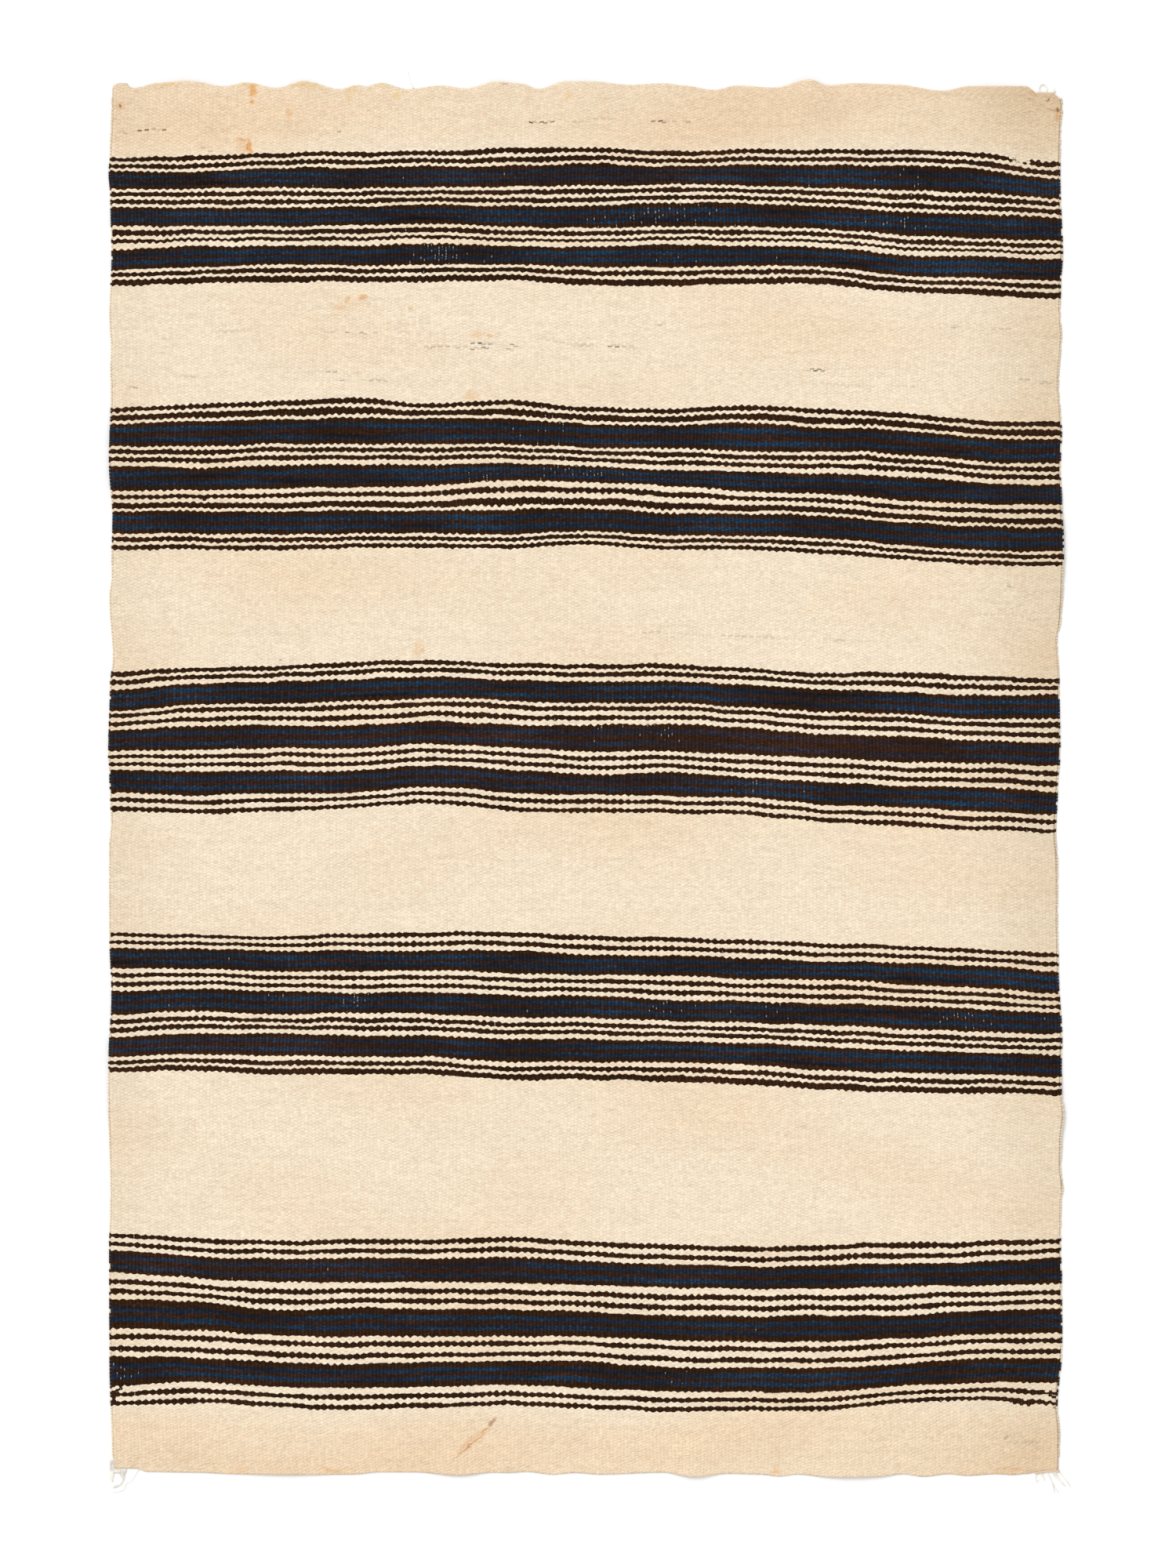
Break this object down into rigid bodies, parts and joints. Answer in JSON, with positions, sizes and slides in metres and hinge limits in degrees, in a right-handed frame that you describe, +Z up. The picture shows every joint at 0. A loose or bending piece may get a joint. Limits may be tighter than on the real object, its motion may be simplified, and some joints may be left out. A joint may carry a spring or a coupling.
{
  "type": "navajo blanket",
  "caption": "Flat hand-woven wool wearing blanket, ivory with zones of brown and indigo stripes, with bound sides and frayed corner cords.",
  "frame": {"origin": "on the floor, under the middle of the blanket with its loose ends", "axes": "+Z up off the floor, +Y along the warp to the end with the looped corner, +X along the stripes"},
  "size_m": [1.2276, 1.8132, 0.0068],
  "materials": {
    "woven_wool": "matt weft-faced wool, ivory with dark brown and indigo stripes",
    "cord_wool": "matt two-ply ivory wool cord",
    "frayed_wool": "matt frayed ivory wool"
  },
  "bodies": {
    "root": {"cloth": "woven_wool", "selvedge_cord_left": "cord_wool", "selvedge_cord_right": "cord_wool", "frayed_ends_bottom_left": "frayed_wool", "frayed_ends_bottom_right": "frayed_wool", "corner_loop_top_right": "frayed_wool", "loose_thread_top": "frayed_wool", "loose_thread_bottom": "frayed_wool"}
  },
  "joints": []
}
